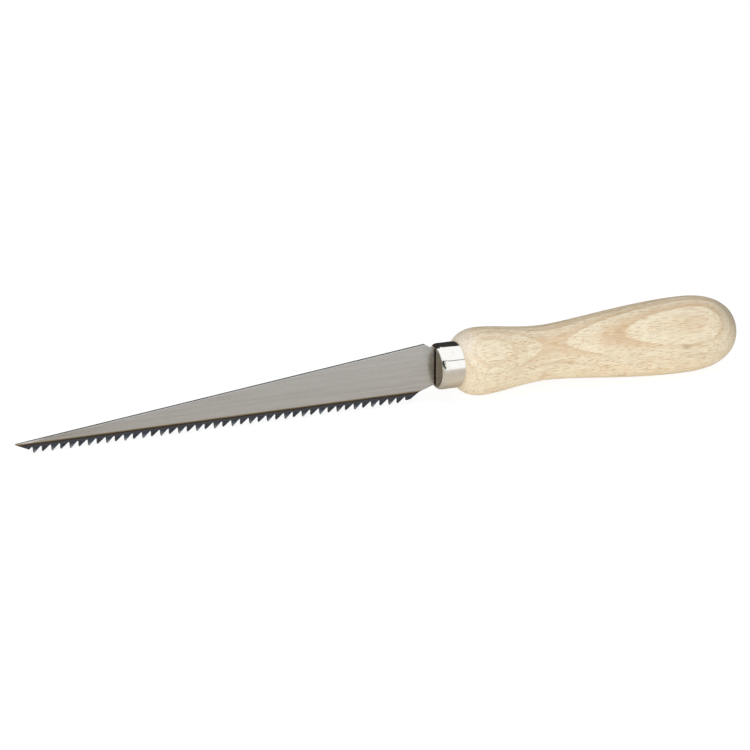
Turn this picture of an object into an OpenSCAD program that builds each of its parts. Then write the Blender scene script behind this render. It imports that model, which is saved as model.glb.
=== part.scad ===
// Keyhole saw: a narrow tapered blade with set, hardened teeth, driven by its tang into a turned
// beech handle. A drawn ferrule cap with a slot for the blade stops the handle's end from splitting.
//
// Millimetres. The handle's axis is X. The blade stands upright in the XZ plane with its teeth down,
// its point towards -X and the handle's butt towards +X. The origin is the middle of the ferrule's
// front face, where the blade leaves the handle.

/* [Blade] */
// Length of blade that shows in front of the ferrule
blade_length = 150; // [130:1:200]
// Thickness of the ground blade
blade_thickness = 1.2; // [0.9:0.05:1.5]
// Height of the back above the axis, where its line would reach the ferrule
back_height = 9.1; // [8.4:0.1:9.8]
// Drop of the point below the axis
point_drop = 7.8; // [7.2:0.1:8]
// Width of the neck where it enters the ferrule
neck_width = 12.4; // [10:0.1:13]

/* [Teeth] */
// Teeth in each inch of the tooth line
teeth_per_inch = 8; // [7:1:10]
// Drop of the gullets' roots below the axis
gullet_drop = 9.3; // [9.1:0.05:10.1]
// Height of a tooth from the gullet's root to its tip
tooth_depth = 2.1; // [1.7:0.05:2.3]
// Radius at the root of each gullet
gullet_radius = 0.5; // [0.3:0.05:0.6]
// Lean of a tooth's cutting face, back from square to the tooth line
rake_angle = 4; // [0:1:10]
// Sideways set of the tooth tips, to alternate sides
tooth_set = 0.3; // [0.1:0.05:0.4]

/* [Tang] */
// Thickness of the tang, which is left as rolled
tang_thickness = 1.3; // [1.3:0.05:1.6]
// Length of the tang behind the ferrule's front face
tang_length = 58; // [40:1:80]
// Width of the tang at its shoulder
tang_root_width = 8; // [5:0.5:9]
// Width of the tang at its end
tang_end_width = 4; // [2:0.5:5]

/* [Ferrule] */
// Outside diameter of the ferrule
ferrule_diameter = 16.1; // [16:0.1:16.6]
// Length of the ferrule
ferrule_length = 8.45; // [6:0.05:12]
// Wall of the drawn cap
ferrule_wall = 0.8; // [0.5:0.1:1]
// Outer radius of the cap's shoulder
shoulder_radius = 1.8; // [1.2:0.1:1.8]
// Width of the slot that the blade passes through
slot_width = 3; // [2.4:0.1:3.6]

/* [Handle] */
// Length of wood that shows behind the ferrule
wood_length = 105.9; // [95:0.1:125]
// Diameter of the wood where it meets the ferrule
seat_diameter = 16.4; // [16.2:0.1:17.4]
// Diameter of the front swell
front_diameter = 23.6; // [21:0.1:26]
// Diameter of the waist
waist_diameter = 19.2; // [17.5:0.1:21]
// Diameter of the butt
butt_diameter = 26.9; // [23:0.1:31]

/* [Hidden] */

// Tooth line: the gullets are counted from the point towards the heel.
inch = 25.4;
pitch = inch / teeth_per_inch;
heel_gullet_x = -11.1;
least_point_run = 4.8;
gullet_count = 1 + floor((blade_length + heel_gullet_x - least_point_run) / pitch);
first_gullet_x = heel_gullet_x - (gullet_count - 1) * pitch;
gullet_steps = 6;

// Each tooth bends sideways at bend_z, the level of its gullet's centre.
bend_z = -(gullet_drop + gullet_radius);
tip_z = -(gullet_drop + tooth_depth);
bent_height = bend_z - tip_z;
tip_dx = gullet_radius + bent_height * tan(rake_angle);
// A tooth's sloping back touches the next gullet's circle.
back_run = pitch - tip_dx;
back_angle = atan(bent_height / back_run) + asin(gullet_radius / norm([back_run, bent_height]));
back_root_dx = tip_dx + bent_height / tan(back_angle);

// Back of the blade: a straight line that ends at a corner just in front of the ferrule.
back_corner_x = -3.75;
back_slope = (back_height + point_drop) / blade_length;
// Point: a blunt nose, and a short lower edge down to a stub in front of the first gullet.
nose_height = 0.2;
stub_depth = 0.25;
// Heel: a stub behind the last gullet, then a slope with one bend up to the neck.
heel_stub_depth = 0.85;
heel_corner = [-8.9, -gullet_drop - 1.08];
heel_bend = [-5.9, -gullet_drop + 1.05];

// Fits: the mortise clears the tang, the slot clears the neck, and the ferrule slides onto the tenon.
tang_gap = 0.05;
tang_shoulder_x = 1.6;
tenon_gap = 0.05;
// Spare length of a cut beyond the faces that it goes through.
cut = 1;
// Steps round the ferrule's shoulder.
shoulder_arc_steps = 12;
// Turn of the turned pieces' seam off the lowest line, so that they lie on a facet where they are meshed.
seam_turn = 2.4;

// Handle: places of the front swell and the waist along the wood from the ferrule's rim, and the
// length over which the butt rounds off.
front_x = 8.4;
waist_x = 32.4;
butt_round = 20.8;
// Fullness of the curves: powers of the front shoulder, of its round edge at the ferrule and of the
// butt, and skews of the two swells.
shoulder_power = 2.2;
edge_power = 0.7;
front_skew = 0.88;
butt_skew = 0.82;
butt_power = 2.43;
// Steps along the shoulder, along each swell and round the butt. The shoulder's crowd at the ferrule.
shoulder_steps = 10;
swell_steps = 14;
butt_steps = 14;

$fn = 96;

// Points along an arc about c, from angle a to angle b.
function arc(c, r, a, b, steps) =
    [for (i = [0 : steps]) let (t = a + (b - a) * i / steps) c + r * [cos(t), sin(t)]];

function gullet_x(i) = first_gullet_x + i * pitch;

function back_z(x) = back_height + back_slope * x;

// Root of a gullet, from the tooth back on its point side to the cutting face on its heel side.
function gullet(i) = arc([gullet_x(i), bend_z], gullet_radius, 90 + back_angle, 0, gullet_steps);

// Where tooth i's face and back cross the bend line.
function rake_root(i) = [gullet_x(i) + gullet_radius, bend_z];
function back_root(i) = [gullet_x(i) + back_root_dx, bend_z];
function tooth_tip(i) = [gullet_x(i) + tip_dx, tip_z];

// Smooth step from 0 to 1, level at both ends.
function ease(t) = t * t * (3 - 2 * t);

// Three stretches of the turned profile as [radius, distance along the wood].
function shoulder_profile() =
    [for (i = [0 : shoulder_steps])
        let (t = pow(i / shoulder_steps, 2), rise = pow(1 - pow(1 - t, shoulder_power), edge_power))
        [(seat_diameter + (front_diameter - seat_diameter) * rise) / 2, front_x * t]];
function swell_profile(d0, d1, x0, x1, skew) =
    [for (i = [1 : swell_steps]) let (t = i / swell_steps)
        [(d0 + (d1 - d0) * ease(pow(t, skew))) / 2, x0 + (x1 - x0) * t]];
function butt_profile() =
    [for (i = [1 : butt_steps]) let (a = 90 * i / butt_steps)
        [i == butt_steps ? 0 : butt_diameter / 2 * pow(cos(a), 2 / butt_power),
         wood_length - butt_round + butt_round * pow(sin(a), 2 / butt_power)]];

// Extrudes an outline drawn in X and Z to a thickness either side of the blade's middle plane.
module upright(thickness) {
    rotate([90, 0, 0]) linear_extrude(height = thickness, center = true) children();
}

// Lays a profile of [radius, distance] round the X axis.
module turned(points) {
    rotate([seam_turn, 0, 0]) rotate([0, 90, 0]) rotate_extrude() polygon(points);
}

module blade_outline() {
    last = gullet_count - 1;
    polygon(concat(
        [[0, neck_width / 2],
         [back_corner_x, back_z(back_corner_x)],
         [-blade_length, -point_drop],
         [-blade_length, -point_drop - nose_height],
         back_root(-1) - stub_depth * [1 / tan(back_angle), 1]],
        [for (i = [0 : last]) each concat(gullet(i), i < last ? [back_root(i)] : [])],
        [rake_root(last) + heel_stub_depth * [tan(rake_angle), -1],
         heel_corner,
         heel_bend,
         [0, -neck_width / 2]]));
}

// One tooth below the bend line, with its tip set to one side: 1 towards -Y, -1 towards +Y.
module tooth(i, side) {
    profile = [rake_root(i), tooth_tip(i), back_root(i)];
    set = [0, -side * tooth_set, 0];
    sides = [-blade_thickness / 2, blade_thickness / 2];
    polyhedron(
        points = [for (y = sides) for (k = [0 : 2]) [profile[k][0], y + set[k], profile[k][1]]],
        faces = [[0, 2, 1], [3, 4, 5], [0, 3, 5, 2], [0, 1, 4, 3], [1, 2, 5, 4]]);
}

// Tang behind the ferrule's front face, grown by gap on each side for the mortise.
module tang_outline(gap) {
    neck = neck_width / 2 + gap;
    root = tang_root_width / 2 + gap;
    end = tang_end_width / 2 + gap;
    shoulder_x = tang_shoulder_x + gap;
    end_x = tang_length + gap;
    polygon([[0, -neck], [shoulder_x, -neck], [shoulder_x, -root], [end_x, -end],
             [end_x, end], [shoulder_x, root], [shoulder_x, neck], [0, neck]]);
}

module blade() {
    color([0.65, 0.64, 0.60]) union() {
        upright(blade_thickness) blade_outline();
        upright(tang_thickness) tang_outline(0);
        for (i = [0 : gullet_count - 2]) tooth(i, i % 2 == 0 ? 1 : -1);
    }
}

module ferrule() {
    outer = ferrule_diameter / 2;
    inner = outer - ferrule_wall;
    inner_round = shoulder_radius - ferrule_wall;
    centre = [outer - shoulder_radius, shoulder_radius];
    slot = [ferrule_wall + 2 * cut, slot_width, neck_width + 2 * tang_gap];
    color([0.80, 0.78, 0.73]) difference() {
        turned(concat(
            [[0, ferrule_wall], [0, 0]],
            arc(centre, shoulder_radius, -90, 0, shoulder_arc_steps),
            [[outer, ferrule_length], [inner, ferrule_length]],
            arc(centre, inner_round, 0, -90, shoulder_arc_steps)));
        translate([-cut, -slot[1] / 2, -slot[2] / 2]) cube(slot);
    }
}

module handle() {
    tenon_x = ferrule_wall + tenon_gap;
    tenon_radius = ferrule_diameter / 2 - ferrule_wall - tenon_gap;
    tenon_chamfer = shoulder_radius - ferrule_wall;
    butt_x = wood_length - butt_round;
    wood = concat(
        shoulder_profile(),
        swell_profile(front_diameter, waist_diameter, front_x, waist_x, front_skew),
        swell_profile(waist_diameter, butt_diameter, waist_x, butt_x, butt_skew),
        butt_profile());
    color([0.90, 0.83, 0.70]) difference() {
        turned(concat(
            [[0, tenon_x], [tenon_radius - tenon_chamfer, tenon_x], [tenon_radius, tenon_x + tenon_chamfer],
             [tenon_radius, ferrule_length]],
            [for (p = wood) p + [0, ferrule_length]]));
        upright(tang_thickness + 2 * tang_gap) tang_outline(tang_gap);
    }
}

blade();
ferrule();
handle();
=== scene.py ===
"""Keyhole saw: a satin steel blade with blued, set teeth, a polished ferrule and a turned handle."""

import math

import bmesh
import bpy
from bpy.props import FloatProperty, FloatVectorProperty, IntProperty, PointerProperty
from mathutils import Matrix, Vector


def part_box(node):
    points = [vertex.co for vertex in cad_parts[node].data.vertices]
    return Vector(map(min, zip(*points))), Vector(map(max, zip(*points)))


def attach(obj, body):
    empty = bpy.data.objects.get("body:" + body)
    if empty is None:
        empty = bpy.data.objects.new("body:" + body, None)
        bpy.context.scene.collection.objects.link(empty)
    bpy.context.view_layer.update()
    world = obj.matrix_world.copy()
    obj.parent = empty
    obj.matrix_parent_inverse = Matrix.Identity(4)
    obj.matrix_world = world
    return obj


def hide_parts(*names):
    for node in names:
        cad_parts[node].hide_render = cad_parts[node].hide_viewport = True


bl_info = {
    "name": "Keyhole saw",
    "version": (1, 0, 0),
    "blender": (4, 5, 0),
    "location": "3D View > Sidebar > Saw",
    "description": "Makes the blade, ferrule and handle of a keyhole saw over its CAD frame",
    "category": "Add Mesh",
}

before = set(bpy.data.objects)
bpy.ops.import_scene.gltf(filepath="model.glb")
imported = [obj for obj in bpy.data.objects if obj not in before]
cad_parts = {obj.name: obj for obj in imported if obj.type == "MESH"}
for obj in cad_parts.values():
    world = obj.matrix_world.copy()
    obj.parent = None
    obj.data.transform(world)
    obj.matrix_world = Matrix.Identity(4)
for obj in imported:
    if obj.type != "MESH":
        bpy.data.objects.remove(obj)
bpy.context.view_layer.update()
BLADE_LOW, BLADE_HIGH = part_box("blade")
FERRULE_LOW, FERRULE_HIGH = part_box("ferrule")
HANDLE_LOW, HANDLE_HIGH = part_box("handle")

MM = 0.001
INCH = 25.4 * MM
PER_MM = 1 / MM
BODY = "root"
# Edges that turn by more than this many degrees stay sharp on the turned pieces.
SHARP_EDGE = 30


# Settings

def length(name, description, default):
    """A size in metres."""
    return FloatProperty(name=name, description=description, default=default, unit="LENGTH", precision=5)


def angle(name, description, degrees):
    """An angle, given in degrees and kept in radians."""
    turn = math.radians(degrees)
    return FloatProperty(name=name, description=description, default=turn, unit="ROTATION")


def share(name, description, default):
    """A plain factor."""
    return FloatProperty(name=name, description=description, default=default, subtype="FACTOR", min=0)


def power(name, description, watts):
    """The power of a lamp in watts."""
    return FloatProperty(name=name, description=description, default=watts, unit="POWER")


def colour(name, description, default):
    """A linear colour."""
    return FloatVectorProperty(
        name=name, description=description, default=default, subtype="COLOR", size=3, min=0, max=1
    )


class BladeSettings(bpy.types.PropertyGroup):
    """Sizes and colours of the blade."""

    length: length("Length", "Blade in front of the ferrule", -BLADE_LOW.x)
    thickness: length("Thickness", "Thickness of the ground blade", 1.2 * MM)
    back_height: length("Back height", "Height of the back's line at the ferrule", 9.1 * MM)
    point_drop: length("Point drop", "Drop of the point below the axis", 7.8 * MM)
    neck_width: length("Neck width", "Width of the neck at the ferrule", 12.4 * MM)
    edge_round: length("Edge rounding", "Rounding of the back and the heel", 0.14 * MM)
    facet_length: length("Facet length", "Length of the ground facet at the point", 13 * MM)
    facet_width: length("Facet width", "Width of the facet at the point's end", 0.75 * MM)
    facet_depth: length("Facet depth", "Depth of the facet into the back", 0.6 * MM)
    teeth_per_inch: IntProperty(name="Teeth per inch", description="Teeth in an inch", default=8, min=1)
    gullet_drop: length("Gullet drop", "Drop of the gullets below the axis", 9.3 * MM)
    tooth_depth: length("Tooth depth", "Depth of a tooth below its gullet", -BLADE_LOW.z - 9.3 * MM)
    gullet_radius: length("Gullet radius", "Radius at the root of a gullet", 0.5 * MM)
    rake: angle("Rake", "Lean of a tooth's cutting face", 4)
    tooth_set: length("Tooth set", "Sideways set of the tooth tips", -BLADE_LOW.y - 0.6 * MM)
    tang_thickness: length("Tang thickness", "Thickness of the tang", 1.3 * MM)
    tang_root: length("Tang root", "Width of the tang at its shoulder", 8 * MM)
    tang_end: length("Tang end", "Width of the tang at its end", 4 * MM)
    steel: colour("Steel", "Ground steel", (0.652, 0.659, 0.666))
    point: colour("Point", "Darker steel towards the point", (0.50, 0.49, 0.455))
    # Black scale on the tang, which also stands for painted shade in the ferrule's slot.
    scale: colour("Scale", "Black scale on the tang", (0.03, 0.028, 0.026))
    straw: colour("Straw", "Upper line of the hardened band", (0.34, 0.275, 0.165))
    brown: colour("Brown", "Brown line under the straw one", (0.150, 0.105, 0.058))
    navy: colour("Navy", "Darkest blue of the band", (0.040, 0.040, 0.052))
    slate: colour("Slate", "Blued steel of the teeth", (0.082, 0.100, 0.130))
    ash: colour("Ash", "Paler line above the gullets", (0.125, 0.123, 0.135))
    worn: colour("Worn", "Bare metal at the tooth tips", (0.46, 0.48, 0.48))


class FerruleSettings(bpy.types.PropertyGroup):
    """Sizes and colours of the ferrule."""

    diameter: length("Diameter", "Outside diameter", FERRULE_HIGH.y - FERRULE_LOW.y)
    length: length("Length", "Length of the cap", FERRULE_HIGH.x - FERRULE_LOW.x)
    wall: length("Wall", "Wall of the drawn cap", 0.8 * MM)
    shoulder: length("Shoulder", "Outer radius of the shoulder", 1.8 * MM)
    rim: length("Rim", "Rounding of the rim at the wood", 0.06 * MM)
    slot_width: length("Slot width", "Width of the slot for the blade", 3 * MM)
    slot_height: length("Slot height", "Height of the slot for the blade", 12.5 * MM)
    nickel: colour("Nickel", "Polished nickel plate", (0.965, 0.95, 0.92))
    # Painted shade: the cap's front face is coloured darker than the polished plate.
    face_shade: colour("Dull", "Dull front face of the cap", (0.30, 0.255, 0.185))
    stain: colour("Stain", "Faint stain on the plate", (0.78, 0.72, 0.62))


class HandleSettings(bpy.types.PropertyGroup):
    """Sizes and colours of the handle."""

    length: length("Length", "Wood behind the ferrule", HANDLE_HIGH.x - FERRULE_HIGH.x)
    seat: length("Seat", "Diameter where the wood meets the ferrule", 16.4 * MM)
    front: length("Front", "Diameter of the front swell", 23.6 * MM)
    waist: length("Waist", "Diameter of the waist", 19.2 * MM)
    butt: length("Butt", "Diameter of the butt", HANDLE_HIGH.y - HANDLE_LOW.y)
    front_place: length("Front place", "Place of the front swell behind the ferrule", 8.4 * MM)
    waist_place: length("Waist place", "Place of the waist behind the ferrule", 32.4 * MM)
    butt_round: length("Butt rounding", "Length over which the butt rounds off", 20.8 * MM)
    tenon_gap: length("Tenon gap", "Gap round the tenon in the ferrule", 0.05 * MM)
    tang_gap: length("Tang gap", "Gap round the tang in the mortise", 0.05 * MM)
    ring_turn: angle("Ring turn", "Turn of the growth rings about the handle", -56.0)
    ring_spacing: length("Ring spacing", "Growth of one year", 1.9 * MM)
    ring_level: length("Ring level", "Height of one ring above the pith side", 11.08 * MM)
    ring_bend: share("Ring bend", "Curve of the rings about the tree's pith, per millimetre", 0.012)
    early: colour("Early wood", "Pale wood at a ring's start", (0.873, 0.782, 0.592))
    late: colour("Late wood", "Darker wood at a ring's end", (0.68, 0.49, 0.295))
    blush: colour("Blush", "Pinker streaks of the wood", (0.79, 0.64, 0.45))
    ray: colour("Rays", "Brown dashes of the rays", (0.57, 0.345, 0.165))
    # Painted highlight on the upper side of the wood beside the ferrule.
    pale: colour("Pale", "Wood rubbed pale beside the ferrule", (0.91, 0.845, 0.725))
    knot: colour("Knot", "Pin knot near the butt", (0.46, 0.31, 0.18))


class StageSettings(bpy.types.PropertyGroup):
    """Camera, floor and light."""

    azimuth: angle("Azimuth", "Camera's turn round the saw", -22.220)
    elevation: angle("Elevation", "Camera's height above the horizon", 19.024)
    roll: angle("Roll", "Camera's roll", 0.053)
    distance: length("Distance", "Camera's distance from its target", 1.3080)
    lens: FloatProperty(
        name="Lens", description="Focal length", default=183.07, subtype="DISTANCE_CAMERA"
    )
    target: FloatVectorProperty(
        name="Target",
        description="Point at the middle of the picture",
        default=(-19.147 * MM, 6.821 * MM, -2.685 * MM),
        subtype="TRANSLATION",
    )
    ambient: share("Ambient", "Soft light from all round", 0.36)
    key_power: power("Key", "Power of the front softbox", 10.6)
    top_power: power("Top", "Power of the overhead softbox", 6.5)
    floor: colour("Floor", "Floor close to the saw, as the metal mirrors it", (0.655, 0.60, 0.522))
    bounce: share("Bounce", "Light that the floor throws up at the saw", 0.36)


# Shapes shared by the pieces

def arc(centre, radius, start, end, steps):
    """Points along an arc about a centre, from one angle to another."""
    turns = [start + (end - start) * i / steps for i in range(steps + 1)]
    return [(centre[0] + radius * math.cos(t), centre[1] + radius * math.sin(t)) for t in turns]


def ease(t):
    """Smooth step from 0 to 1, level at both ends."""
    return t * t * (3 - 2 * t)


def turned(profile, segments):
    """A closed mesh turned round the X axis from points of (place along the axis, radius)."""
    bm = bmesh.new()
    rings = []
    for x, radius in profile:
        count = segments if radius > 0 else 1
        turns = [2 * math.pi * k / segments for k in range(count)]
        rings.append([bm.verts.new((x, radius * math.cos(t), radius * math.sin(t))) for t in turns])
    for one, two in zip(rings, rings[1:]):
        for k in range(segments):
            after = k + 1
            corners = (
                one[k % len(one)], one[after % len(one)], two[after % len(two)], two[k % len(two)]
            )
            bm.faces.new(tuple(dict.fromkeys(corners)))
    bmesh.ops.recalc_face_normals(bm, faces=bm.faces)
    return bm


def plate(bm, outline, thickness):
    """The near and far side of an outline drawn in X and Z, a thickness apart across Y."""
    near = [bm.verts.new((x, -thickness / 2, z)) for x, z in outline]
    far = [bm.verts.new((x, thickness / 2, z)) for x, z in outline]
    bm.faces.new(near)
    bm.faces.new(far[::-1])
    return near, far


def upright(outline, thickness):
    """A closed mesh of an outline drawn in X and Z, with a thickness across Y."""
    bm = bmesh.new()
    near, far = plate(bm, outline, thickness)
    for k in range(len(outline)):
        after = (k + 1) % len(outline)
        bm.faces.new((near[k], near[after], far[after], far[k]))
    bmesh.ops.recalc_face_normals(bm, faces=bm.faces)
    return bm


def piece(name, bm):
    """A new object from a mesh under construction."""
    mesh = bpy.data.meshes.new(name)
    bm.to_mesh(mesh)
    bm.free()
    obj = bpy.data.objects.new(name, mesh)
    bpy.context.scene.collection.objects.link(obj)
    return obj


def cut_out(obj, cutter):
    """Takes the cutter's shape out of a piece, and removes the cutter."""
    cut = obj.modifiers.new("cut", "BOOLEAN")
    cut.operation = "DIFFERENCE"
    cut.solver = "EXACT"
    cut.object = cutter
    graph = bpy.context.evaluated_depsgraph_get()
    whole = obj.data
    obj.data = bpy.data.meshes.new_from_object(obj.evaluated_get(graph))
    obj.modifiers.clear()
    bpy.data.meshes.remove(whole)
    bpy.data.objects.remove(cutter)


def smooth(obj):
    """Smooth shading, with the sharp edges kept."""
    obj.data.shade_smooth()
    obj.data.set_sharp_from_angle(angle=math.radians(SHARP_EDGE))


def stand_for(obj, node):
    """Puts a finished piece on the frame in place of its CAD node."""
    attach(obj, BODY)
    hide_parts(node)


# Shader nodes

# Sockets that the Mix node uses for colours.
MIX_FACTOR, MIX_ONE, MIX_TWO = 0, 6, 7
MIX_RESULT = 2


def empty_tree(owner):
    """The node tree of a material or world, with nothing in it."""
    owner.use_nodes = True
    owner.node_tree.nodes.clear()
    return owner.node_tree


def new_material(name):
    """A new material, its node tree, and its shader joined to the output."""
    material = bpy.data.materials.new(name)
    tree = empty_tree(material)
    shader = tree.nodes.new("ShaderNodeBsdfPrincipled")
    add(tree, "ShaderNodeOutputMaterial", {"Surface": shader.outputs["BSDF"]})
    return material, tree, shader


def put(tree, socket, value):
    """Joins a socket to another one, or sets it to a plain value."""
    if isinstance(value, bpy.types.NodeSocket):
        tree.links.new(value, socket)
    else:
        socket.default_value = value


def add(tree, kind, inputs, **settings):
    """A new node with its inputs joined or set."""
    node = tree.nodes.new(kind)
    for key, value in settings.items():
        setattr(node, key, value)
    for key, value in inputs.items():
        put(tree, node.inputs[key], value)
    return node


def maths(tree, operation, *values):
    """The result of a sum on numbers."""
    return add(tree, "ShaderNodeMath", dict(enumerate(values)), operation=operation).outputs[0]


def product(tree, first, *others):
    """Numbers multiplied together."""
    for value in others:
        first = maths(tree, "MULTIPLY", first, value)
    return first


def remap(tree, value, low, high, to_low=0.0, to_high=1.0, kind="SMOOTHSTEP"):
    """A number carried from one range to another."""
    inputs = {"Value": value, "From Min": low, "From Max": high, "To Min": to_low, "To Max": to_high}
    return add(tree, "ShaderNodeMapRange", inputs, interpolation_type=kind).outputs[0]


def mixed(tree, factor, one, two, mode="MIX"):
    """Two colours mixed."""
    inputs = {MIX_FACTOR: factor, MIX_ONE: one, MIX_TWO: two}
    node = add(tree, "ShaderNodeMix", inputs, data_type="RGBA", blend_type=mode)
    return node.outputs[MIX_RESULT]


def shaded(tree, tint, shade, amount=1.0):
    """A colour multiplied by a shade."""
    return mixed(tree, amount, tint, shade, "MULTIPLY")


def stretched(tree, point, scale):
    """A point with each of its axes scaled."""
    return add(tree, "ShaderNodeVectorMath", {0: point, 1: scale}, operation="MULTIPLY").outputs[0]


def noise(tree, point, scale, detail, roughness=0.5):
    """Soft noise from 0 to 1, with its own scale along each axis."""
    spot = stretched(tree, point, scale)
    inputs = {"Vector": spot, "Scale": 1, "Detail": detail, "Roughness": roughness}
    return add(tree, "ShaderNodeTexNoise", inputs).outputs["Fac"]


def cells(tree, point, scale):
    """Distance to the middle of random cells, and a random number for each cell."""
    inputs = {"Vector": stretched(tree, point, scale), "Scale": 1, "Randomness": 1}
    node = add(tree, "ShaderNodeTexVoronoi", inputs)
    tint = add(tree, "ShaderNodeSeparateColor", {"Color": node.outputs["Color"]})
    return node.outputs["Distance"], tint.outputs[0]


def curve(tree, value, points):
    """A value taken through a smooth curve that starts at place 0."""
    end, top = points[-1]
    node = add(tree, "ShaderNodeFloatCurve", {"Value": maths(tree, "DIVIDE", value, end)})
    line = node.mapping.curves[0]
    line.points[0].location = (0, points[0][1] / top)
    line.points[1].location = (1, 1)
    for place_along, height in points[1:-1]:
        line.points.new(place_along / end, height / top)
    node.mapping.update()
    return maths(tree, "MULTIPLY", node.outputs[0], top)


def ramp(tree, value, low, high, stops):
    """Colours laid along a value, from stops of (value, colour)."""
    node = add(tree, "ShaderNodeValToRGB", {0: remap(tree, value, low, high, kind="LINEAR")})
    elements = node.color_ramp.elements
    while len(elements) < len(stops):
        elements.new(1.0)
    for (level, tint), stop in zip(stops, list(elements)):
        stop.position = (level - low) / (high - low)
        stop.color = rgba(tint)
    return node.outputs[0]


def place(tree, turn=0.0):
    """The point on the piece in millimetres, turned about the handle's axis."""
    spot = tree.nodes.new("ShaderNodeTexCoord").outputs["Object"]
    inputs = {"Vector": spot, "Rotation": (turn, 0, 0), "Scale": (PER_MM, PER_MM, PER_MM)}
    return add(tree, "ShaderNodeMapping", inputs).outputs[0]


def split(tree, point):
    """A point's place along X, Y and Z."""
    return add(tree, "ShaderNodeSeparateXYZ", {0: point}).outputs


def bumped(tree, shader, height, depth, strength):
    """Gives a surface the relief of a height from 0 to 1."""
    inputs = {"Strength": strength, "Distance": depth, "Height": height}
    put(tree, shader.inputs["Normal"], add(tree, "ShaderNodeBump", inputs).outputs[0])


def rgba(tint):
    """A colour with full alpha."""
    return (*tint, 1)


def matt(tree, tint):
    """A shader for a matt surface."""
    return add(tree, "ShaderNodeBsdfDiffuse", {"Color": rgba(tint)}).outputs[0]


def glowing(tree, tint, strength=1.0):
    """A shader that gives off light of its own."""
    return add(tree, "ShaderNodeEmission", {"Color": rgba(tint), "Strength": strength}).outputs[0]


def both(tree, one, two):
    """Two shaders added together."""
    return add(tree, "ShaderNodeAddShader", {0: one, 1: two}).outputs[0]


def either(tree, factor, one, two):
    """One shader where the factor is 0, and another where it is 1."""
    return add(tree, "ShaderNodeMixShader", {0: factor, 1: one, 2: two}).outputs[0]


# Blade

# The back ends at a corner in front of the neck, and the point is a blunt nose.
BACK_CORNER_X = -3.75 * MM
NOSE_HEIGHT = 0.2 * MM
# Stubs close the tooth line at the point and at the heel.
STUB_DEPTH = 0.25 * MM
HEEL_STUB_DEPTH = 0.85 * MM
# The heel slopes up to the neck with one bend. Its heights are measured from the gullets' roots.
HEEL_CORNER_X, HEEL_CORNER_DROP = -8.9 * MM, 1.08 * MM
HEEL_BEND_X, HEEL_BEND_RISE = -5.9 * MM, 1.05 * MM
# The rounding of the edges stops here, just in front of the ferrule.
LIP_X = -0.3 * MM
TANG_SHOULDER_X = 1.6 * MM
EDGE_SEGMENTS = 2


class ToothLine:
    """Places along the tooth line, worked out from the blade's settings."""

    heel_gullet_x = -11.1 * MM
    least_point_run = 4.8 * MM
    gullet_steps = 8

    def __init__(self, blade):
        self.pitch = INCH / blade.teeth_per_inch
        self.radius = blade.gullet_radius
        run = blade.length + self.heel_gullet_x - self.least_point_run
        self.last = math.floor(run / self.pitch)
        self.first_x = self.heel_gullet_x - self.last * self.pitch
        self.bend_z = -(blade.gullet_drop + blade.gullet_radius)
        self.tip_z = -(blade.gullet_drop + blade.tooth_depth)
        bent = self.bend_z - self.tip_z
        self.rake_slope = math.tan(blade.rake)
        self.tip_dx = self.radius + bent * self.rake_slope
        back_run = self.pitch - self.tip_dx
        touch = math.asin(self.radius / math.hypot(back_run, bent))
        self.back_angle = math.atan(bent / back_run) + touch
        self.back_dx = self.tip_dx + bent / math.tan(self.back_angle)

    def gullet_x(self, i):
        """Place of a gullet's middle, counted from the point."""
        return self.first_x + i * self.pitch

    def gullet(self, i):
        """The gullet's root, from the tooth back on its point side to the face on its heel side."""
        centre = (self.gullet_x(i), self.bend_z)
        return arc(centre, self.radius, math.pi / 2 + self.back_angle, 0, self.gullet_steps)

    def back_root(self, i):
        """Where a tooth's sloping back meets the line that the teeth bend along."""
        return (self.gullet_x(i) + self.back_dx, self.bend_z)

    def tip(self, i):
        """A tooth's tip, before it is set to one side."""
        return (self.gullet_x(i) + self.tip_dx, self.tip_z)


def back_slope(blade):
    """Rise of the back towards the handle."""
    return (blade.back_height + blade.point_drop) / blade.length


def blade_outline(blade, teeth):
    """Outline of the blade above its teeth, from the neck round the point and the heel.

    It comes with the numbers of the points that the teeth sit behind, and of those that start an
    edge to be rounded.
    """
    neck = blade.neck_width / 2
    corner_z = blade.back_height + back_slope(blade) * BACK_CORNER_X
    stub_x, stub_z = teeth.back_root(-1)
    points = [
        (0, neck),
        (LIP_X, neck + (corner_z - neck) * LIP_X / BACK_CORNER_X),
        (BACK_CORNER_X, corner_z),
        (-blade.length, -blade.point_drop),
        (-blade.length, -blade.point_drop - NOSE_HEIGHT),
        (stub_x - STUB_DEPTH / math.tan(teeth.back_angle), stub_z - STUB_DEPTH),
    ]
    rounded = list(range(1, len(points) - 1))
    seats = []
    for i in range(teeth.last + 1):
        points += teeth.gullet(i)
        if i < teeth.last:
            seats.append(len(points) - 1)
            points.append(teeth.back_root(i))
    face_x, face_z = points[-1]
    heel = len(points)
    bend_z = -blade.gullet_drop + HEEL_BEND_RISE
    points += [
        (face_x + HEEL_STUB_DEPTH * teeth.rake_slope, face_z - HEEL_STUB_DEPTH),
        (HEEL_CORNER_X, -blade.gullet_drop - HEEL_CORNER_DROP),
        (HEEL_BEND_X, bend_z),
        (LIP_X, -neck + (bend_z + neck) * LIP_X / HEEL_BEND_X),
        (0, -neck),
    ]
    rounded += range(heel, len(points) - 2)
    return points, seats, rounded


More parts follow.
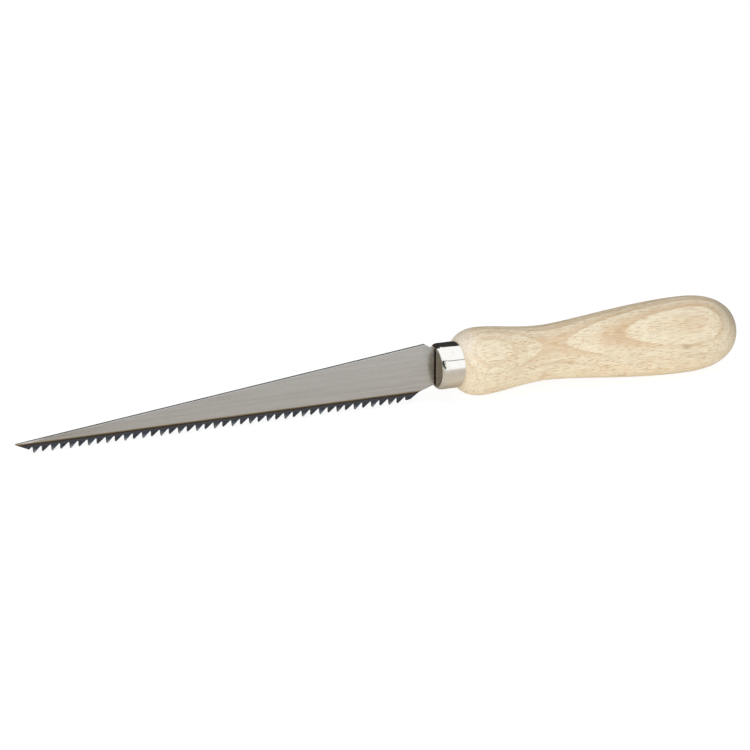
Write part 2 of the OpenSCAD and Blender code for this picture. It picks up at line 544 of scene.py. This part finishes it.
def blade_mesh(blade):
    """The blade in one closed mesh: ground body, set teeth and tang."""
    teeth = ToothLine(blade)
    outline, seats, rounded = blade_outline(blade, teeth)
    bm = bmesh.new()
    near, far = plate(bm, outline, blade.thickness)
    for k in range(len(outline) - 1):
        if k not in seats:
            bm.faces.new((near[k], near[k + 1], far[k + 1], far[k]))
    half = blade.thickness / 2
    for i, k in enumerate(seats):
        x, z = teeth.tip(i)
        side = -blade.tooth_set if i % 2 == 0 else blade.tooth_set
        tip_near = bm.verts.new((x, side - half, z))
        tip_far = bm.verts.new((x, side + half, z))
        bm.faces.new((near[k], tip_near, near[k + 1]))
        bm.faces.new((far[k], far[k + 1], tip_far))
        bm.faces.new((near[k], far[k], tip_far, tip_near))
        bm.faces.new((tip_near, tip_far, far[k + 1], near[k + 1]))
    add_tang(bm, blade, (near[0], far[0], near[-1], far[-1]))
    bmesh.ops.recalc_face_normals(bm, faces=bm.faces)
    edges = [bm.edges.get((row[k], row[k + 1])) for row in (near, far) for k in rounded]
    bmesh.ops.bevel(
        bm, geom=edges, offset=blade.edge_round, segments=EDGE_SEGMENTS, profile=0.5, affect="EDGES"
    )
    grind_point(bm, blade)
    lay_across(bm)
    return bm


def tang_outline(blade, gap):
    """Outline of the tang from the top of the neck to its bottom, grown by a gap on each side."""
    neck, root, end = (w / 2 + gap for w in (blade.neck_width, blade.tang_root, blade.tang_end))
    shoulder_x, end_x = TANG_SHOULDER_X + gap, BLADE_HIGH.x + gap
    top = [(0, neck), (shoulder_x, neck), (shoulder_x, root), (end_x, end)]
    return top + [(x, -z) for x, z in reversed(top)]


def add_tang(bm, blade, neck):
    """Joins the tang, which is a little thicker, to the four corners of the blade's neck."""
    top_near, top_far, low_near, low_far = neck
    outline = tang_outline(blade, 0)
    near, far = plate(bm, outline, blade.tang_thickness)
    for k in range(1, len(outline) - 2):
        bm.faces.new((near[k], near[k + 1], far[k + 1], far[k]))
    bm.faces.new((near[0], top_near, top_far, far[0], far[1], near[1]))
    bm.faces.new((near[-1], low_near, low_far, far[-1], far[-2], near[-2]))
    bm.faces.new((near[0], top_near, low_near, near[-1]))
    bm.faces.new((far[0], top_far, low_far, far[-1]))


def grind_point(bm, blade):
    """Grinds a narrow facet on the near side of the back, which widens towards the point."""
    half = blade.thickness / 2
    start_x = -blade.length + blade.facet_length
    start = Vector((start_x, -half, blade.back_height + back_slope(blade) * start_x))
    on_side = Vector((-blade.length, -half, -blade.point_drop - blade.facet_width))
    on_back = Vector((-blade.length, -half + blade.facet_depth, -blade.point_drop))
    normal = (on_side - start).cross(on_back - start).normalized()
    if normal.z < 0:
        normal.negate()
    geometry = bm.verts[:] + bm.edges[:] + bm.faces[:]
    made = bmesh.ops.bisect_plane(bm, geom=geometry, plane_co=start, plane_no=normal, clear_outer=True)
    rim = [e for e in made["geom_cut"] if isinstance(e, bmesh.types.BMEdge)]
    bmesh.ops.contextual_create(bm, geom=rim)


def lay_across(bm):
    """A UV map with U across the blade, which spreads reflections across the grinding lines."""
    layer = bm.loops.layers.uv.new("across")
    for face in bm.faces:
        for loop in face.loops:
            loop[layer].uv = (loop.vert.co.z / INCH, loop.vert.co.x / INCH)


# A noise is given by its scales along X, Y and Z, its detail and, where it isn't 0.5, its roughness.
# Grinding lines: their fine and broad noise, and the share of each.
FINE_LINES, FINE_SHARE = ((0.03, 0.5, 11), 4, 0.6), 0.7
BROAD_LINES, BROAD_SHARE = ((0.012, 0.2, 1.5), 2), 0.3
# The lines' range, and the shade and the roughness at its two ends.
LINE_RANGE = (0.3, 0.7)
LINE_SHADE = (0.86, 1.12)
LINE_ROUGHNESS = (0.24, 0.34)
# The lines' relief, and how far they stretch a reflection.
LINE_DEPTH, LINE_STRENGTH = 0.05 * MM, 0.08
STEEL_STRETCH = 0.7
# Stretch of the blade, in millimetres from the ferrule, over which it darkens, and by how much.
POINT_STRETCH, POINT_SHARE = (-105, -150), 0.9
# Hardened band: heights in millimetres of its colours, of the ramp that holds them and of its upper
# edge, the share of the grinding lines in it, and its wobble along the blade.
BAND_COLOURS = (
    (-11.5, "slate"), (-9.25, "slate"), (-8.75, "ash"), (-8.38, "navy"),
    (-8.13, "brown"), (-7.87, "straw"), (-7.55, "steel"), (-7.1, "steel"),
)
BAND_RANGE = (-11.6, -7.0)
BAND_EDGE = (-7.6, -7.2)
BAND_GRAIN = 0.7
BAND_WOBBLE, WOBBLE_REACH = ((0.11, 0, 0.4), 3), 0.1
# Distance in millimetres from the blade's middle over which the set tips wear bare, and by how much.
TIP_WEAR, TIP_WEAR_SHARE = (0.64, 0.86), 0.7
# Place in millimetres where the black scale starts, just in front of the ferrule, so that it also paints
# shade where the blade goes into the slot.
SCALE_AND_SHADE_EDGE = (-0.3, 0.0)


def steel_material(blade):
    """Steel ground lengthwise, with a hardened band of temper colours along the teeth."""
    material, tree, shader = new_material("ground_steel")
    point = place(tree)
    along, sideways, up = split(tree, point)
    fine = noise(tree, point, *FINE_LINES)
    broad = noise(tree, point, *BROAD_LINES)
    lines = maths(tree, "ADD", product(tree, fine, FINE_SHARE), product(tree, broad, BROAD_SHARE))
    shade = remap(tree, lines, *LINE_RANGE, *LINE_SHADE, "LINEAR")
    darkened = remap(tree, along, *POINT_STRETCH, 0, POINT_SHARE)
    ground = shaded(tree, mixed(tree, darkened, rgba(blade.steel), rgba(blade.point)), shade)
    wobble = noise(tree, point, *BAND_WOBBLE)
    height = maths(tree, "ADD", up, remap(tree, wobble, 0, 1, -WOBBLE_REACH, WOBBLE_REACH, "LINEAR"))
    stops = [(level, getattr(blade, tint)) for level, tint in BAND_COLOURS]
    band = shaded(tree, ramp(tree, height, *BAND_RANGE, stops), shade, BAND_GRAIN)
    wear = remap(tree, maths(tree, "ABSOLUTE", sideways), *TIP_WEAR, 0, TIP_WEAR_SHARE)
    blued = mixed(tree, wear, band, rgba(blade.worn))
    bare = mixed(tree, remap(tree, height, *BAND_EDGE), blued, ground)
    # Black scale on the tang, starting just in front of the ferrule as painted shade at the slot.
    scale_and_shade = mixed(tree, remap(tree, along, *SCALE_AND_SHADE_EDGE), bare, rgba(blade.scale))
    put(tree, shader.inputs["Base Color"], scale_and_shade)
    shader.inputs["Metallic"].default_value = 1
    put(tree, shader.inputs["Roughness"], remap(tree, lines, *LINE_RANGE, *LINE_ROUGHNESS, "LINEAR"))
    shader.inputs["Anisotropic"].default_value = STEEL_STRETCH
    tangent = add(tree, "ShaderNodeTangent", {}, direction_type="UV_MAP", uv_map="across")
    put(tree, shader.inputs["Tangent"], tangent.outputs[0])
    bumped(tree, shader, fine, LINE_DEPTH, LINE_STRENGTH)
    return material


class SAW_OT_blade(bpy.types.Operator):
    """Makes the blade with its teeth and tang"""

    bl_idname = "saw.blade"
    bl_label = "Blade"

    def execute(self, context):
        blade = context.scene.saw_blade
        obj = piece("saw_blade", blade_mesh(blade))
        obj.data.materials.append(steel_material(blade))
        stand_for(obj, "blade")
        return {"FINISHED"}


# Ferrule

FERRULE_SEGMENTS = 160
SHOULDER_STEPS, RIM_STEPS, INSIDE_STEPS = 24, 4, 12


def ferrule_profile(ferrule):
    """The drawn cap's section: front, rounded shoulder, rim, then back along the inside."""
    outer, wall = ferrule.diameter / 2, ferrule.wall
    shoulder, rim = ferrule.shoulder, ferrule.rim
    inner = outer - wall
    centre = (shoulder, outer - shoulder)
    rim_centre = (ferrule.length - rim, outer - rim)
    return (
        [(0, 0), (0, (outer - shoulder) / 2)]
        + arc(centre, shoulder, math.pi, math.pi / 2, SHOULDER_STEPS)
        + arc(rim_centre, rim, math.pi / 2, 0, RIM_STEPS)
        + [(ferrule.length, inner)]
        + arc(centre, shoulder - wall, math.pi / 2, math.pi, INSIDE_STEPS)
        + [(wall, 0)]
    )


# Plate: the noises of its clouds and of its turning marks, the stain in the clouds and its share, and
# the roughness over the clouds' range.
CLOUDS = ((0.35, 0.35, 0.35), 4)
TURNING_MARKS = ((9, 0.15, 0.15), 3)
STAIN_RANGE, STAIN_SHARE = (0.5, 0.8), 0.35
PLATE_RANGE, PLATE_ROUGHNESS = (0.3, 0.8), (0.06, 0.14)
MARK_DEPTH, MARK_STRENGTH = 0.02 * MM, 0.03
# Place in millimetres from the front where the painted shade of the front face gives way to the polish.
FACE_SHADE_EDGE = (0.22, 0.06)


def nickel_material(ferrule):
    """Polished nickel with painted shade on its front face, faint stains and turning marks."""
    material, tree, shader = new_material("polished_nickel")
    point = place(tree)
    cloud = noise(tree, point, *CLOUDS)
    marks = noise(tree, point, *TURNING_MARKS)
    along = split(tree, point)[0]
    stain = remap(tree, cloud, *STAIN_RANGE, 0, STAIN_SHARE)
    coated = mixed(tree, stain, rgba(ferrule.nickel), rgba(ferrule.stain))
    # Painted shade: the front face is darkened.
    coated = mixed(tree, remap(tree, along, *FACE_SHADE_EDGE), coated, rgba(ferrule.face_shade))
    put(tree, shader.inputs["Base Color"], coated)
    shader.inputs["Metallic"].default_value = 1
    put(tree, shader.inputs["Roughness"], remap(tree, cloud, *PLATE_RANGE, *PLATE_ROUGHNESS, "LINEAR"))
    bumped(tree, shader, marks, MARK_DEPTH, MARK_STRENGTH)
    return material


class SAW_OT_ferrule(bpy.types.Operator):
    """Makes the ferrule with its slot"""

    bl_idname = "saw.ferrule"
    bl_label = "Ferrule"

    def execute(self, context):
        ferrule = context.scene.saw_ferrule
        obj = piece("ferrule_cap", turned(ferrule_profile(ferrule), FERRULE_SEGMENTS))
        high, deep = ferrule.slot_height / 2, 2 * ferrule.wall
        slot = [(-deep, high), (-deep, -high), (deep, -high), (deep, high)]
        cut_out(obj, piece("slot_cutter", upright(slot, ferrule.slot_width)))
        smooth(obj)
        obj.data.materials.append(nickel_material(ferrule))
        stand_for(obj, "ferrule")
        return {"FINISHED"}


# Handle

HANDLE_SEGMENTS = 144
# Fullness of the front shoulder, of its round edge at the ferrule and of the butt.
SHOULDER_POWER, EDGE_POWER, BUTT_POWER = 2.2, 0.7, 2.43
# Skew of the curves from the front swell to the waist, and from there to the butt.
FRONT_SKEW, BUTT_SKEW = 0.88, 0.82
# Steps along the shoulder, which crowd at the ferrule, along those two curves and round the butt.
WOOD_SHOULDER_STEPS, FRONT_STEPS, BACK_STEPS, BUTT_STEPS = 24, 36, 60, 40


def wood_profile(handle):
    """The part of the handle that shows, from the ferrule's rim: shoulder, swell, waist and butt."""
    seat, front, waist, butt = (d / 2 for d in (handle.seat, handle.front, handle.waist, handle.butt))
    front_x, waist_x = handle.front_place, handle.waist_place
    butt_x = handle.length - handle.butt_round
    wood = []
    for i in range(WOOD_SHOULDER_STEPS + 1):
        t = (i / WOOD_SHOULDER_STEPS) ** 2
        rise = (1 - (1 - t) ** SHOULDER_POWER) ** EDGE_POWER
        wood.append((front_x * t, seat + (front - seat) * rise))
    for start, end, x0, x1, skew, steps in (
        (front, waist, front_x, waist_x, FRONT_SKEW, FRONT_STEPS),
        (waist, butt, waist_x, butt_x, BUTT_SKEW, BACK_STEPS),
    ):
        for i in range(1, steps + 1):
            t = i / steps
            wood.append((x0 + (x1 - x0) * t, start + (end - start) * ease(t ** skew)))
    for i in range(1, BUTT_STEPS):
        turn = math.pi / 2 * i / BUTT_STEPS
        x = butt_x + (handle.length - butt_x) * math.sin(turn) ** (2 / BUTT_POWER)
        wood.append((x, butt * math.cos(turn) ** (2 / BUTT_POWER)))
    return wood + [(handle.length, 0)]


def handle_profile(handle, ferrule):
    """The turned section: the tenon inside the ferrule, then the wood that shows."""
    gap = handle.tenon_gap
    tenon_x = ferrule.wall + gap
    tenon = ferrule.diameter / 2 - ferrule.wall - gap
    chamfer = ferrule.shoulder - ferrule.wall
    inside = [
        (tenon_x, 0), (tenon_x, tenon - chamfer), (tenon_x + chamfer, tenon), (ferrule.length, tenon)
    ]
    return inside + [(x + ferrule.length, radius) for x, radius in wood_profile(handle)]


# Grain. Places are in millimetres in three directions: along the handle from the ferrule's front, to
# the side within a ring, which rises from the underside to the top, and across the rings.
# Rise of the growth rings along the handle, as places along it and heights.
RING_WANDER = ((0, 0.3), (25, 0.0), (36, 0.6), (47, 0.73), (60, 0.76), (74, 1.12), (120, 1.25))
RING_WARP, WARP_REACH = ((0.03, 0.08, 0.08), 2), 0.1
# The rings curve a little the other way near the ferrule, and fully from the second place on.
RING_CURVING, FRONT_BEND = (25, 55), -0.005
# A ring darkens slowly towards its end, and then ends sharply.
LATE_RISE, LATE_END = (0.2, 0.95), (1.0, 0.9)
# Where the rings fade: towards the underside, near the ferrule, on the far side and at the butt.
SIDE_FADE = (-8.0, -4.0, 0.2, 1.0)
FRONT_FADE = (15, 40, 0.6, 1.0)
ACROSS_FADE = (-4.0, 4.0, 0.4, 1.0)
BUTT_FADE = (98, 112, 1.0, 0.6)
LATE_CLOUDS, LATE_CLOUD_SHARE = ((0.05, 0.14, 0.14), 3), (0.6, 1.0)
# Fine fibres, with the shade and the roughness that they give, and broad pinker streaks.
FIBRES, FIBRE_SHADE, FIBRE_ROUGHNESS = ((0.3, 4.0, 2.4), 3, 0.6), (0.85, 1.10), (0.33, 0.42)
STREAKS, STREAK_RANGE, STREAK_SHARE = ((0.08, 0.45, 0.3), 1), (0.4, 0.7), 0.36
# The range of a noise that counts.
NOISE_RANGE = (0.3, 0.7)
# Painted highlight, paler wood on the upper side beside the ferrule: how far it reaches behind the
# ferrule and round the side, and its share.
HIGHLIGHT_ALONG, HIGHLIGHT_SIDE, HIGHLIGHT_SHARE = (16, 9), (-2.5, 2.0), 0.75
# Rays: long dashes from noise, and short ones in the middle of random cells.
LONG_RAYS, LONG_RANGE, LONG_SHARE = ((0.14, 4.6, 3.6), 2), (0.56, 0.68), 0.95
SHORT_RAYS, SHORT_REACH = (0.26, 5.2, 4.0), (0.44, 0.22)
SHORT_RANGE, SHORT_SHARE = (0.35, 1.0), 0.7
# Pin knot: its place, how it narrows in each direction, its edge and its share.
KNOT = (89.6, -7.5, 11.1)
KNOT_SHAPE = (0.42, 0.8, 0.8)
KNOT_EDGE, KNOT_SHARE = (1.6, 0.5), 0.75
# End grain at the butt: it darkens, with painted shade that makes it darker at the top than below, and
# it soaks up varnish and is rougher.
END_ALONG, END_SIDE, END_SHADE = (98, 112), (-8, 8), (0.98, 0.82)
TOP_SHADE_ALONG, TOP_SHADE_SIDE, TOP_SHADE_SHARE = (103, 114), (-9, 0), 0.28
ROUGH_ALONG, END_ROUGHNESS = (104, 113), 0.25
VARNISH_WEIGHT, VARNISH_ROUGHNESS = 0.12, 0.12
GRAIN_DEPTH, GRAIN_STRENGTH = 0.05 * MM, 0.15


def late_wood(tree, handle, grain):
    """How dark the growth rings are, from 0 in early wood to 1 at a ring's end."""
    along, side, across = split(tree, grain)
    warp = remap(tree, noise(tree, grain, *RING_WARP), 0, 1, -WARP_REACH, WARP_REACH, "LINEAR")
    wander = curve(tree, along, RING_WANDER)
    curving = remap(tree, along, *RING_CURVING, FRONT_BEND, handle.ring_bend, "LINEAR")
    bend = product(tree, side, side, curving)
    level = maths(tree, "ADD", maths(tree, "SUBTRACT", across, wander), maths(tree, "ADD", bend, warp))
    above = maths(tree, "SUBTRACT", level, handle.ring_level * PER_MM)
    phase = maths(tree, "FRACT", maths(tree, "DIVIDE", above, handle.ring_spacing * PER_MM))
    cloud = noise(tree, grain, *LATE_CLOUDS)
    return product(
        tree,
        remap(tree, phase, *LATE_RISE),
        remap(tree, phase, *LATE_END),
        remap(tree, side, *SIDE_FADE),
        remap(tree, along, *FRONT_FADE),
        remap(tree, across, *ACROSS_FADE),
        remap(tree, along, *BUTT_FADE),
        remap(tree, cloud, *NOISE_RANGE, *LATE_CLOUD_SHARE),
    )


def ray_dashes(tree, grain):
    """The dashes of the rays, from 0 between them to 1 in the darkest."""
    long_ray = remap(tree, noise(tree, grain, *LONG_RAYS), *LONG_RANGE, 0, LONG_SHARE)
    away, random = cells(tree, grain, SHORT_RAYS)
    picked = remap(tree, random, *SHORT_RANGE, 0, SHORT_SHARE)
    return maths(tree, "MAXIMUM", long_ray, product(tree, remap(tree, away, *SHORT_REACH), picked))


def pin_knot(tree, grain, fibre):
    """The pin knot, frayed by the fibres, from 0 round it to its share in the middle."""
    middle = Vector(KNOT) * Vector(KNOT_SHAPE)
    inputs = {0: stretched(tree, grain, KNOT_SHAPE), 1: middle}
    away = add(tree, "ShaderNodeVectorMath", inputs, operation="DISTANCE").outputs["Value"]
    return remap(tree, maths(tree, "ADD", away, fibre), *KNOT_EDGE, 0, KNOT_SHARE)


def beech_material(handle):
    """Beech with growth rings across the handle, ray dashes along it and a thin satin varnish."""
    material, tree, shader = new_material("varnished_beech")
    grain = place(tree, handle.ring_turn)
    along, side, _ = split(tree, grain)
    fibre = noise(tree, grain, *FIBRES)
    wood = mixed(tree, late_wood(tree, handle, grain), rgba(handle.early), rgba(handle.late))
    streak = remap(tree, noise(tree, grain, *STREAKS), *STREAK_RANGE, 0, STREAK_SHARE)
    wood = mixed(tree, streak, wood, rgba(handle.blush))
    wood = shaded(tree, wood, remap(tree, fibre, *NOISE_RANGE, *FIBRE_SHADE, "LINEAR"))
    # Painted highlight: paler wood on the upper side just behind the ferrule.
    beside_ferrule = remap(tree, along, *HIGHLIGHT_ALONG, 0, HIGHLIGHT_SHARE)
    highlit = product(tree, beside_ferrule, remap(tree, side, *HIGHLIGHT_SIDE))
    wood = mixed(tree, highlit, wood, rgba(handle.pale))
    ray = ray_dashes(tree, grain)
    wood = mixed(tree, ray, wood, rgba(handle.ray))
    wood = mixed(tree, pin_knot(tree, grain, fibre), wood, rgba(handle.knot))
    # Painted shade: the end grain at the butt is darker at the top than below.
    end_grain_and_shade = remap(tree, along, *END_ALONG, 1.0, remap(tree, side, *END_SIDE, *END_SHADE))
    painted_top_shade = product(tree, remap(tree, along, *TOP_SHADE_ALONG), remap(tree, side, *TOP_SHADE_SIDE, 0, TOP_SHADE_SHARE))
    wood = shaded(tree, wood, maths(tree, "SUBTRACT", end_grain_and_shade, painted_top_shade))
    put(tree, shader.inputs["Base Color"], wood)
    sanded = remap(tree, fibre, *NOISE_RANGE, *FIBRE_ROUGHNESS, "LINEAR")
    rough_end = remap(tree, along, *ROUGH_ALONG, 0, END_ROUGHNESS)
    put(tree, shader.inputs["Roughness"], maths(tree, "ADD", sanded, rough_end))
    shader.inputs["Coat Weight"].default_value = VARNISH_WEIGHT
    shader.inputs["Coat Roughness"].default_value = VARNISH_ROUGHNESS
    bumped(tree, shader, maths(tree, "SUBTRACT", fibre, ray), GRAIN_DEPTH, GRAIN_STRENGTH)
    return material


class SAW_OT_handle(bpy.types.Operator):
    """Makes the turned handle with its tenon and mortise"""

    bl_idname = "saw.handle"
    bl_label = "Handle"

    def execute(self, context):
        scene = context.scene
        handle, ferrule, blade = scene.saw_handle, scene.saw_ferrule, scene.saw_blade
        obj = piece("turned_handle", turned(handle_profile(handle, ferrule), HANDLE_SEGMENTS))
        gap = handle.tang_gap
        mortise = upright(tang_outline(blade, gap), blade.tang_thickness + 2 * gap)
        cut_out(obj, piece("mortise_cutter", mortise))
        smooth(obj)
        obj.data.materials.append(beech_material(handle))
        stand_for(obj, "handle")
        return {"FINISHED"}


# Stage

# Places and sizes of the stage are in metres.
FLOOR_SIDE = 8
# Place along the handle where the butt lies on the floor.
BUTT_REST_X = 0.092
WHITE = (1, 1, 1)
# The floor as the camera sees it: nearly white by itself, and matt enough to show a shadow.
SHOWN_GLOW, SHOWN_MATT = 0.86, (0.24, 0.24, 0.24)
# The floor as it lights the saw.
LIGHTING_GLOW, LIGHTING_MATT = (1, 0.985, 0.96), (0.80, 0.78, 0.75)
# Distance to either side of the saw over which the mirrored floor turns white.
MIRRORED_WHITE = (0.03, 0.30)
# Softboxes: centre and size.
FRONT_SOFTBOX = ((-0.95, -1.30, 0.62), (0.6, 0.45))
TOP_SOFTBOX = ((0.1, -0.35, 1.25), (1.4, 0.7))
# Flags: name, centre, size and the point that each faces.
FLAGS = (
    ("flag_behind", (0.125, 0.5, 0.42), (1.15, 0.86), (0.125, 0, 0.42)),
    ("flag_left", (-0.7, 0.38, 0.05), (0.8, 0.12), (0, 0.38, 0.05)),
    ("flag_wall", (-1.37, -0.34, 0.3), (2.4, 0.61), (-1.06, 0.61, 0.3)),
    ("flag_beam", (0.31, -0.8, 0.66), (1.15, 0.06), (0.45, 0.19, 0)),
    ("flag_right", (0.9, 0.3, 0.3), (0.62, 1.0), (0, 0.3, 0.3)),
)
FLAG_BLACK = (0.034, 0.033, 0.030)
FLAG_HIDDEN_FROM = ("camera", "diffuse", "transmission", "volume_scatter", "shadow")


def stage_sheet(name, side, matrix, material):
    """A flat square of the stage, put in its place."""
    bm = bmesh.new()
    bmesh.ops.create_grid(bm, x_segments=1, y_segments=1, size=side / 2)
    obj = piece(name, bm)
    obj.matrix_world = matrix
    obj.data.materials.append(material)
    return obj


def floor_material(stage):
    """Pale and even as a light, white where the camera sees it, and darker by the saw in reflections."""
    material = bpy.data.materials.new("pale_floor")
    tree = empty_tree(material)
    path = tree.nodes.new("ShaderNodeLightPath").outputs
    glow = glowing(tree, LIGHTING_GLOW, stage.bounce)
    lighting = both(tree, matt(tree, LIGHTING_MATT), glow)
    spot = split(tree, tree.nodes.new("ShaderNodeTexCoord").outputs["Object"])
    away = remap(tree, maths(tree, "ABSOLUTE", spot[1]), *MIRRORED_WHITE, kind="LINEAR")
    mirrored = either(tree, away, matt(tree, stage.floor), glowing(tree, WHITE))
    unseen = either(tree, path["Is Glossy Ray"], lighting, mirrored)
    shown = both(tree, matt(tree, SHOWN_MATT), glowing(tree, WHITE, SHOWN_GLOW))
    watched = maths(tree, "MAXIMUM", path["Is Camera Ray"], path["Is Transmission Ray"])
    surface = either(tree, watched, unseen, shown)
    add(tree, "ShaderNodeOutputMaterial", {"Surface": surface})
    return material


def make_floor(stage):
    """A floor that the butt and the foremost teeth touch."""
    rest = Vector((BUTT_REST_X, 0, HANDLE_LOW.z))
    teeth = Vector((BLADE_LOW.x, 0, BLADE_LOW.z))
    tilt = math.atan((teeth.z - rest.z) / (teeth.x - rest.x))
    matrix = Matrix.Translation(rest) @ Matrix.Rotation(-tilt, 4, "Y")
    stage_sheet("floor", FLOOR_SIDE, matrix, floor_material(stage))


def make_world(stage):
    """White where it is seen, in a reflection too, and a lower, even light on the saw."""
    world = bpy.data.worlds.new("studio")
    tree = empty_tree(world)
    path = tree.nodes.new("ShaderNodeLightPath").outputs
    mirrored = maths(tree, "MAXIMUM", path["Is Camera Ray"], path["Is Glossy Ray"])
    seen = maths(tree, "MAXIMUM", mirrored, path["Is Transmission Ray"])
    strength = remap(tree, seen, 0, 1, stage.ambient, 1.0, "LINEAR")
    ground = add(tree, "ShaderNodeBackground", {"Color": rgba(WHITE), "Strength": strength})
    add(tree, "ShaderNodeOutputWorld", {"Surface": ground.outputs[0]})
    bpy.context.scene.world = world


def make_softbox(name, centre, size, watts):
    """A soft rectangular lamp that faces the saw."""
    lamp = bpy.data.lights.new(name, "AREA")
    lamp.shape = "RECTANGLE"
    lamp.size, lamp.size_y = size
    lamp.energy = watts
    obj = bpy.data.objects.new(name, lamp)
    obj.location = centre
    obj.rotation_mode = "QUATERNION"
    obj.rotation_quaternion = (-Vector(centre)).to_track_quat("-Z", "Y")
    bpy.context.scene.collection.objects.link(obj)
    return obj


def make_flags():
    """Black flags round the saw, which show only in the polished metal and the varnish."""
    black = bpy.data.materials.new("black_flag")
    tree = empty_tree(black)
    add(tree, "ShaderNodeOutputMaterial", {"Surface": glowing(tree, FLAG_BLACK)})
    for name, centre, size, facing in FLAGS:
        turn = (Vector(facing) - Vector(centre)).to_track_quat("Z", "Y").to_matrix().to_4x4()
        matrix = Matrix.Translation(centre) @ turn @ Matrix.Diagonal((*size, 1, 1))
        flag = stage_sheet(name, 1, matrix, black)
        for ray in FLAG_HIDDEN_FROM:
            setattr(flag, "visible_" + ray, False)


def make_camera(stage):
    """The camera at the photograph's viewing angle."""
    around, above = stage.azimuth, stage.elevation
    flat = math.cos(above)
    back = Vector((math.sin(around) * flat, -math.cos(around) * flat, math.sin(above)))
    data = bpy.data.cameras.new("camera")
    data.lens = stage.lens
    camera = bpy.data.objects.new("camera", data)
    turn = (-back).to_track_quat("-Z", "Y").to_matrix().to_4x4()
    spot = Vector(stage.target) + back * stage.distance
    camera.matrix_world = Matrix.Translation(spot) @ turn @ Matrix.Rotation(stage.roll, 4, "Z")
    bpy.context.scene.collection.objects.link(camera)
    bpy.context.scene.camera = camera


class SAW_OT_stage(bpy.types.Operator):
    """Makes the floor, light and camera"""

    bl_idname = "saw.stage"
    bl_label = "Stage"

    def execute(self, context):
        stage = context.scene.saw_stage
        make_floor(stage)
        make_world(stage)
        make_softbox("front_softbox", *FRONT_SOFTBOX, stage.key_power)
        top = make_softbox("top_softbox", *TOP_SOFTBOX, stage.top_power)
        top.visible_glossy = False
        make_flags()
        make_camera(stage)
        context.scene.view_settings.view_transform = "Standard"
        return {"FINISHED"}


# Add-on

GROUPS = {
    "saw_blade": BladeSettings,
    "saw_ferrule": FerruleSettings,
    "saw_handle": HandleSettings,
    "saw_stage": StageSettings,
}
OPERATORS = (SAW_OT_blade, SAW_OT_ferrule, SAW_OT_handle, SAW_OT_stage)


class SAW_PT_panel(bpy.types.Panel):
    """Lists the saw's pieces and their settings"""

    bl_idname = "SAW_PT_panel"
    bl_label = "Keyhole saw"
    bl_space_type = "VIEW_3D"
    bl_region_type = "UI"
    bl_category = "Saw"

    def draw(self, context):
        for group, operator in zip(GROUPS, OPERATORS):
            box = self.layout.box()
            box.operator(operator.bl_idname)
            settings = getattr(context.scene, group)
            for key in settings.__annotations__:
                box.prop(settings, key)


CLASSES = (*GROUPS.values(), *OPERATORS, SAW_PT_panel)


def register():
    """Registers the classes and gives the scene its settings."""
    for cls in CLASSES:
        bpy.utils.register_class(cls)
    for name, group in GROUPS.items():
        setattr(bpy.types.Scene, name, PointerProperty(type=group))


def unregister():
    """Takes away what register adds."""
    for name in GROUPS:
        delattr(bpy.types.Scene, name)
    for cls in reversed(CLASSES):
        bpy.utils.unregister_class(cls)


def main():
    """Makes the saw and its stage."""
    register()
    bpy.ops.saw.blade()
    bpy.ops.saw.ferrule()
    bpy.ops.saw.handle()
    bpy.ops.saw.stage()


if __name__ == "__main__":
    main()
